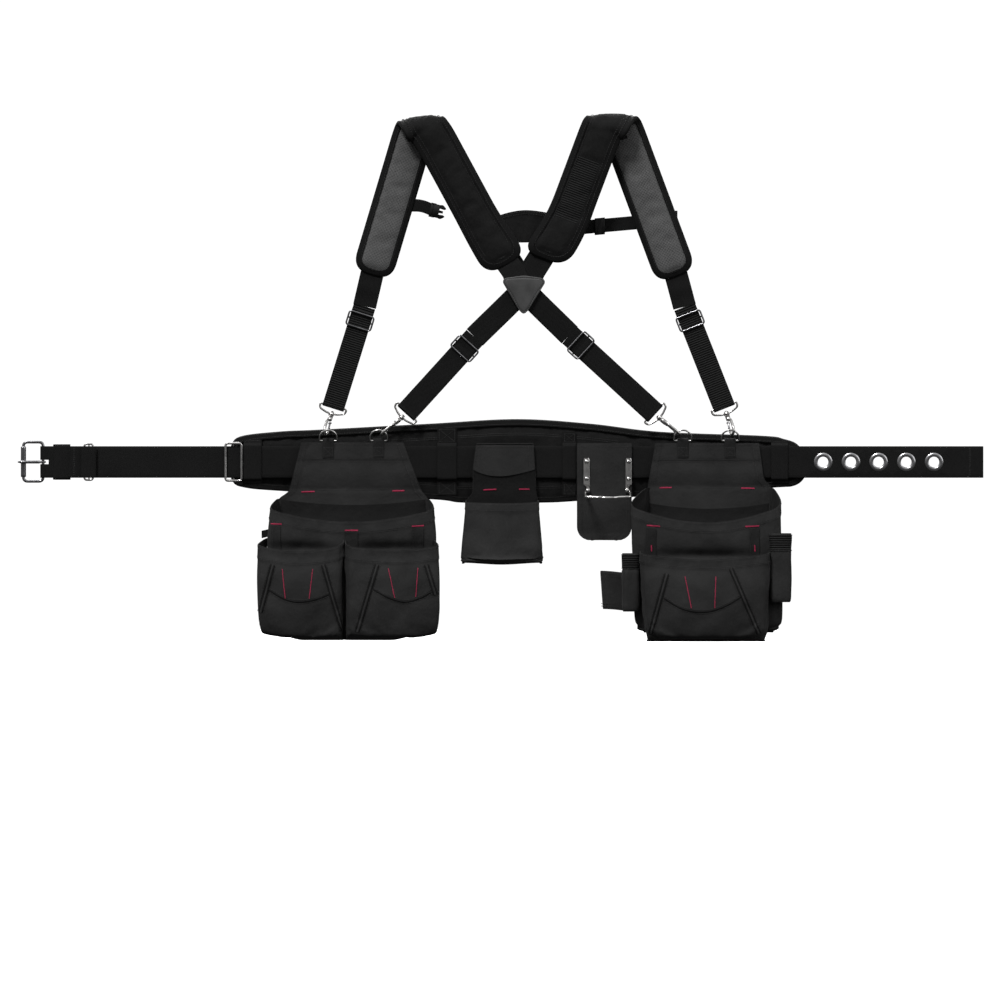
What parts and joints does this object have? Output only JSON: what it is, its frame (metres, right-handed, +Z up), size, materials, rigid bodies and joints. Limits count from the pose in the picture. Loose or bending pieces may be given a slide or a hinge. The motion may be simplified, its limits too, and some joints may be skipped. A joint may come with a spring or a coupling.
{
  "type": "tool belt",
  "caption": "Padded carpenter's belt with buckled webbing strap, two pocketed tool bags, tape pouch, swinging hammer loop and padded suspenders clipped to rings.",
  "frame": {"origin": "middle of the padded belt's back face, on the strap's centre line", "axes": "+X to the right of someone facing the bags, +Y out of the padded belt's back towards the wearer, +Z up"},
  "size_m": [1.5494, 0.135, 0.8434],
  "materials": {
    "webbing": "ribbed black polypropylene webbing",
    "canvas": "black coated polyester cloth with a fine weave",
    "pad_cloth": "black polyester over foam, grey mesh lining",
    "patch": "satin dark grey moulded patch",
    "steel": "bright nickel plate",
    "gunmetal": "dark nickel plate",
    "plastic": "black moulded acetal"
  },
  "bodies": {
    "belt": {"padded_belt": "pad_cloth", "belt_strap": "webbing", "belt_loop_1": "webbing", "belt_loop_2": "webbing", "belt_loop_3": "webbing", "belt_loop_4": "webbing", "shoulder_pad_left": "pad_cloth", "shoulder_pad_right": "pad_cloth", "yoke": "webbing", "cross_patch": "patch", "front_strap_left": "webbing", "back_strap_left": "webbing", "back_strap_right": "webbing", "front_strap_right": "webbing"},
    "buckle": {"buckle_frame": "gunmetal"},
    "roller": {"buckle_roller": "gunmetal"},
    "prong": {"buckle_prong": "gunmetal"},
    "keeper": {"belt_keeper": "webbing"},
    "slide": {"belt_slide": "gunmetal"},
    "adjuster": {"belt_adjuster": "gunmetal"},
    "left_bag": {"left_bag_back": "canvas", "left_bag_main": "canvas", "left_bag_pocket_left": "canvas", "left_bag_pocket_right": "canvas"},
    "right_bag": {"right_bag_back": "canvas", "right_bag_main": "canvas", "right_bag_pocket": "canvas", "right_bag_sleeve_left": "canvas", "right_bag_sleeve_right": "canvas", "right_bag_side_loop": "webbing"},
    "tape_pouch": {"tape_pouch_back": "canvas", "tape_pouch_body": "canvas"},
    "hammer_holder": {"hammer_panel": "canvas", "hammer_bracket_left": "steel", "hammer_bracket_right": "steel"},
    "hammer_loop": {"hammer_loop": "steel"},
    "chest_left": {"chest_strap_left": "webbing", "chest_buckle_left": "plastic"},
    "chest_right": {"chest_strap_right": "webbing", "chest_buckle_right": "plastic"},
    "ring_front_left": {"d_ring_front_left": "steel"},
    "glide_front_left": {"tri_glide_front_left": "steel"},
    "eye_front_left": {"hook_eye_front_left": "steel"},
    "hook_front_left": {"snap_hook_front_left": "steel"},
    "gate_front_left": {"hook_gate_front_left": "gunmetal"},
    "ring_back_left": {"d_ring_back_left": "steel"},
    "glide_back_left": {"tri_glide_back_left": "steel"},
    "eye_back_left": {"hook_eye_back_left": "steel"},
    "hook_back_left": {"snap_hook_back_left": "steel"},
    "gate_back_left": {"hook_gate_back_left": "gunmetal"},
    "ring_back_right": {"d_ring_back_right": "steel"},
    "glide_back_right": {"tri_glide_back_right": "steel"},
    "eye_back_right": {"hook_eye_back_right": "steel"},
    "hook_back_right": {"snap_hook_back_right": "steel"},
    "gate_back_right": {"hook_gate_back_right": "gunmetal"},
    "ring_front_right": {"d_ring_front_right": "steel"},
    "glide_front_right": {"tri_glide_front_right": "steel"},
    "eye_front_right": {"hook_eye_front_right": "steel"},
    "hook_front_right": {"snap_hook_front_right": "steel"},
    "gate_front_right": {"hook_gate_front_right": "gunmetal"}
  },
  "joints": [
    {"name": "buckle_swing", "type": "hinge", "parent": "belt", "child": "buckle", "pos_m": [-0.756, -0.01865, 0], "axis": [0, 0, 1], "range_deg": [-35, 35]},
    {"name": "roller_spin", "type": "hinge", "parent": "buckle", "child": "roller", "pos_m": [-0.7875, -0.01865, 0], "axis": [0, 0, 1], "continuous": true},
    {"name": "prong_lift", "type": "hinge", "parent": "buckle", "child": "prong", "pos_m": [-0.756, -0.01865, 0], "axis": [0, 0, 1], "range_deg": [0, 90]},
    {"name": "keeper_slide", "type": "slide", "parent": "belt", "child": "keeper", "axis": [1, 0, 0], "range_m": [-0.005, 0.018]},
    {"name": "slide_travel", "type": "slide", "parent": "belt", "child": "slide", "axis": [1, 0, 0], "range_m": [-0.015, 0.15]},
    {"name": "adjuster_travel", "type": "slide", "parent": "belt", "child": "adjuster", "axis": [1, 0, 0], "range_m": [-0.15, 0]},
    {"name": "left_bag_slide", "type": "slide", "parent": "belt", "child": "left_bag", "axis": [1, 0, 0], "range_m": [-0.0015, 0.0015]},
    {"name": "right_bag_slide", "type": "slide", "parent": "belt", "child": "right_bag", "axis": [1, 0, 0], "range_m": [-0.0015, 0.0015]},
    {"name": "tape_pouch_slide", "type": "slide", "parent": "belt", "child": "tape_pouch", "axis": [1, 0, 0], "range_m": [-0.012, 0.012]},
    {"name": "hammer_holder_slide", "type": "slide", "parent": "belt", "child": "hammer_holder", "axis": [1, 0, 0], "range_m": [0, 0.005]},
    {"name": "hammer_loop_lift", "type": "hinge", "parent": "hammer_holder", "child": "hammer_loop", "pos_m": [0, -0.0288, -0.046], "axis": [1, 0, 0], "range_deg": [-85, 0]},
    {"name": "ring_tilt_front_left", "type": "hinge", "parent": "left_bag", "child": "ring_front_left", "pos_m": [-0.298, -0.0225, 0.034], "axis": [1, 0, 0], "range_deg": [-3, 3]},
    {"name": "glide_travel_front_left", "type": "slide", "parent": "belt", "child": "glide_front_left", "axis": [0.2974, -0.0827, 0.9512], "range_m": [-0.03, 0.01]},
    {"name": "eye_tilt_front_left", "type": "hinge", "parent": "belt", "child": "eye_front_left", "pos_m": [-0.28994, -0.00707, 0.08966], "axis": [0.9659, 0, -0.2588], "range_deg": [-1.5, 1.5]},
    {"name": "hook_swivel_front_left", "type": "hinge", "parent": "eye_front_left", "child": "hook_front_left", "pos_m": [-0.2933, -0.00707, 0.07711], "axis": [0.224, 0.6428, 0.7326], "range_deg": [-8, 15]},
    {"name": "gate_press_front_left", "type": "hinge", "parent": "hook_front_left", "child": "gate_front_left", "pos_m": [-0.29554, -0.01411, 0.06241], "axis": [-0.9326, 0.3596, -0.0304], "range_deg": [0, 20], "stiffness_Nm_per_rad": 0.004, "springref_deg": -17.19},
    {"name": "ring_tilt_back_left", "type": "hinge", "parent": "left_bag", "child": "ring_back_left", "pos_m": [-0.217, -0.0225, 0.034], "axis": [1, 0, 0], "range_deg": [-2, 2]},
    {"name": "glide_travel_back_left", "type": "slide", "parent": "belt", "child": "glide_back_left", "axis": [0.6722, -0.0578, 0.7381], "range_m": [-0.03, 0.01]},
    {"name": "eye_tilt_back_left", "type": "hinge", "parent": "belt", "child": "eye_back_left", "pos_m": [-0.17132, -0.02906, 0.08063], "axis": [0.7193, 0, -0.6947], "range_deg": [-1, 1]},
    {"name": "hook_swivel_back_left", "type": "hinge", "parent": "eye_back_left", "child": "hook_back_left", "pos_m": [-0.18035, -0.02906, 0.07128], "axis": [0.766, 0, 0.6428], "range_deg": [-4, 15]},
    {"name": "gate_press_back_left", "type": "hinge", "parent": "hook_back_left", "child": "gate_back_left", "pos_m": [-0.19204, -0.02451, 0.06063], "axis": [-0.6365, 0.1392, 0.7586], "range_deg": [0, 20], "stiffness_Nm_per_rad": 0.004, "springref_deg": -17.19},
    {"name": "ring_tilt_back_right", "type": "hinge", "parent": "right_bag", "child": "ring_back_right", "pos_m": [0.271, -0.0225, 0.034], "axis": [1, 0, 0], "range_deg": [-2, 2]},
    {"name": "glide_travel_back_right", "type": "slide", "parent": "belt", "child": "glide_back_right", "axis": [-0.7362, -0.0507, 0.6749], "range_m": [-0.03, 0.01]},
    {"name": "eye_tilt_back_right", "type": "hinge", "parent": "belt", "child": "eye_back_right", "pos_m": [0.22423, -0.02892, 0.07953], "axis": [0.6947, 0, 0.7193], "range_deg": [-1, 1]},
    {"name": "hook_swivel_back_right", "type": "hinge", "parent": "eye_back_right", "child": "hook_back_right", "pos_m": [0.23358, -0.02892, 0.0705], "axis": [-0.7771, 0, 0.6293], "range_deg": [-15, 4]},
    {"name": "gate_press_back_right", "type": "hinge", "parent": "hook_back_right", "child": "gate_back_right", "pos_m": [0.24545, -0.02437, 0.06006], "axis": [-0.6232, -0.1392, -0.7696], "range_deg": [0, 20], "stiffness_Nm_per_rad": 0.004, "springref_deg": -17.19},
    {"name": "ring_tilt_front_right", "type": "hinge", "parent": "right_bag", "child": "ring_front_right", "pos_m": [0.347, -0.0225, 0.034], "axis": [1, 0, 0], "range_deg": [-3, 3]},
    {"name": "glide_travel_front_right", "type": "slide", "parent": "belt", "child": "glide_front_right", "axis": [-0.3673, -0.0364, 0.9294], "range_m": [-0.03, 0.01]},
    {"name": "eye_tilt_front_right", "type": "hinge", "parent": "belt", "child": "eye_front_right", "pos_m": [0.33738, -0.00711, 0.08942], "axis": [0.9397, 0, 0.342], "range_deg": [-1.5, 1.5]},
    {"name": "hook_swivel_front_right", "type": "hinge", "parent": "eye_front_right", "child": "hook_front_right", "pos_m": [0.34182, -0.00711, 0.07721], "axis": [-0.224, 0.6428, 0.7326], "range_deg": [-15, 8]},
    {"name": "gate_press_front_right", "type": "hinge", "parent": "hook_front_right", "child": "gate_front_right", "pos_m": [0.34406, -0.01416, 0.0625], "axis": [-0.9326, -0.3596, 0.0304], "range_deg": [0, 20], "stiffness_Nm_per_rad": 0.004, "springref_deg": -17.19},
    {"name": "chest_left_travel", "type": "slide", "parent": "belt", "child": "chest_left", "axis": [-0.3081, 0, -0.9513], "range_m": [-0.02, 0.02]},
    {"name": "chest_right_travel", "type": "slide", "parent": "belt", "child": "chest_right", "axis": [-0.3621, 0, 0.9322], "range_m": [-0.02, 0.02]}
  ]
}
